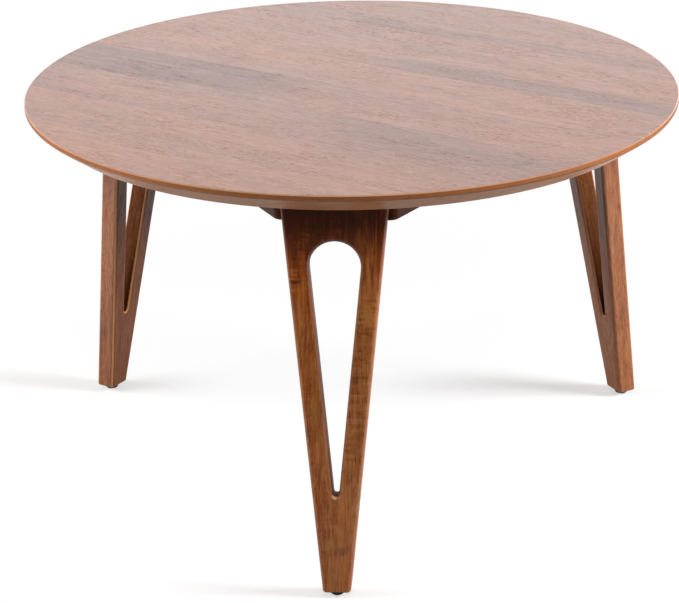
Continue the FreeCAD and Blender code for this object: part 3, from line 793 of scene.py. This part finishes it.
# floor, lamps and world of the studio; a lamp's level is the light it puts on a white card at the table,
# and reaches are distances from the middle of the table in metres
studio = {
    "white": tint(255, 255, 255),
    "floorSize": 14.0,
    "floorDrop": 0.0003,
    "floorUnder": tint(104, 100, 96),     # what the floor throws back under the table and away from it
    "floorOpen": tint(150, 145, 139),
    "openReach": (0.35, 0.65),
    "floorLit": 0.12,
    "litReach": (1.1, 0.6),
    "footLit": 0.45,
    "footReach": 0.374,
    "shadowShift": -0.10,
    "shadowSize": (0.28, 0.10),
    "shadowFull": 0.2,
    "mirrorFar": (1.6, 0.9, 0.03, 0.9),   # the floor shows dimmer in the lacquer far out and under the table
    "mirrorUnder": (0.25, 0.85, 0.38, 1.0),
    "ambient": 0.02,
    "front": 0.03,                        # dim part of the world, low down in front of the table
    "frontSide": (-0.85, -0.2),
    "frontHeight": (0.12, 0.30),
    "aim": (0.0, 0.0, 0.35),
    "lamps": {
        "rightBank": {"place": (2.38, -0.25, 1.21), "size": (0.9, 0.5), "level": 1.3, "mirrored": False},
        "leftBank": {"place": (-2.09, -0.22, 1.11), "size": (1.5, 0.5), "level": 1.05, "mirrored": False},
        "frontFill": {"place": (0.3, -1.85, 2.30), "size": (1.8, 0.7), "level": 0.265, "mirrored": True},
        "backGlow": {"place": (0.6, 2.8, 1.25), "size": (3.8, 2.2), "level": 0.335, "mirrored": True},
    },
}

floorMesh = bpy.data.meshes.new("studioFloor")
half = studio["floorSize"] / 2
floorCorners = [(-half, -half, 0), (half, -half, 0), (half, half, 0), (-half, half, 0)]
floorMesh.from_pydata(floorCorners, [], [(0, 1, 2, 3)])
floor = bpy.data.objects.new("studioFloor", floorMesh)
floor.location.z = -studio["floorDrop"]
bpy.context.scene.collection.objects.link(floor)

# the camera sees white with the table's shadow in it, mostly at the feet; the table gets a softer bounce
floorFinish, sheet = newFinish("studioFloor")
floorPlace = sheet.place()
floorX, floorY, floorZ = sheet.parts(floorPlace)
fromTable = sheet.node("ShaderNodeVectorMath", {"operation": "LENGTH"}, {0: floorPlace}, "Value")
lit = studio["floorLit"]
for azimuth in corners.values():
    foot = outward(azimuth) * studio["footReach"]
    spot = (foot.x + studio["shadowShift"], foot.y, *studio["shadowSize"])
    atFoot = sheet.ease(sheet.away(floorX, floorY, spot), 1.0, studio["shadowFull"])
    lit = lit + atFoot * studio["footLit"]
lit = lit * sheet.ease(fromTable, *studio["litReach"])
under, beyond, shadowed = (
    sheet.node("ShaderNodeBsdfDiffuse", {}, {"Color": studio[key]})
    for key in ("floorUnder", "floorOpen", "white"))
glow = sheet.node("ShaderNodeEmission", {}, {"Color": studio["white"], "Strength": 1.0})
bounce = sheet.mixShader(sheet.ease(fromTable, *studio["openReach"]), under, beyond)
shown = sheet.mixShader(lit, glow, shadowed)
seen, mirrored = sheet.rays()
nearTable = sheet.ease(fromTable, *studio["mirrorFar"]) * sheet.ease(fromTable, *studio["mirrorUnder"])
surface = sheet.mixShader(seen + mirrored * nearTable, bounce, shown)
sheet.node("ShaderNodeOutputMaterial", {}, {"Surface": surface})
floorMesh.materials.append(floorFinish)

for name, own in studio["lamps"].items():
    lamp = bpy.data.lights.new(name, "AREA")
    lamp.shape = "RECTANGLE"
    lamp.size, lamp.size_y = own["size"]
    way = Vector(studio["aim"]) - Vector(own["place"])
    lamp.energy = own["level"] * math.pi ** 2 * way.length_squared
    stand = bpy.data.objects.new(name, lamp)
    stand.location = own["place"]
    stand.rotation_euler = way.to_track_quat("-Z", "Y").to_euler()
    stand.visible_camera = False
    stand.visible_glossy = own["mirrored"]   # the banks don't show as bright patches in the lacquer
    bpy.context.scene.collection.objects.link(stand)

world = bpy.data.worlds.new("studio")
world.use_nodes = True
bpy.context.scene.world = world
sheet = Sheet(world.node_tree)
direction = sheet.place("Generated")
behind = sheet.ease(sheet.dot(direction, (0, 1, 0)), *studio["frontSide"])
high = sheet.ease(sheet.dot(direction, (0, 0, 1)), *studio["frontHeight"])
soft, dim, full = (
    sheet.node("ShaderNodeBackground", {}, {"Color": studio["white"], "Strength": strength})
    for strength in (studio["ambient"], studio["front"], 1.0))
seen, mirrored = sheet.rays()
backdrop = sheet.mixShader(behind.atLeast(high), dim, full)
surround = sheet.mixShader(mirrored, soft, backdrop)
sheet.node("ShaderNodeOutputWorld", {}, {"Surface": sheet.mixShader(seen, surround, full)})
print("studio set:", len(studio["lamps"]), "lamps")

# camera at the photo's angle; turn and pitch aim it, roll levels it
view = {
    "place": (0.1965, -3.1335, 1.4302),
    "turn": -3.915,
    "pitch": -21.497,
    "roll": -0.985,
    "lens": 150.93,
    "sensor": 36.0,
}
turn, pitch, roll = (math.radians(view[key]) for key in ("turn", "pitch", "roll"))
forward = Vector((math.sin(turn) * math.cos(pitch), math.cos(turn) * math.cos(pitch), math.sin(pitch)))
side = Vector((math.cos(turn), -math.sin(turn), 0))
above = side.cross(forward)
right = side * math.cos(roll) + above * math.sin(roll)
up = above * math.cos(roll) - side * math.sin(roll)
lens = bpy.data.cameras.new("photoView")
lens.sensor_width = view["sensor"]
lens.lens = view["lens"]
camera = bpy.data.objects.new("photoView", lens)
aimed = Matrix((right, up, -forward)).transposed().to_4x4()
camera.matrix_world = Matrix.Translation(view["place"]) @ aimed
bpy.context.scene.collection.objects.link(camera)
bpy.context.scene.camera = camera
bpy.context.scene.view_settings.view_transform = "Standard"
print("camera set")
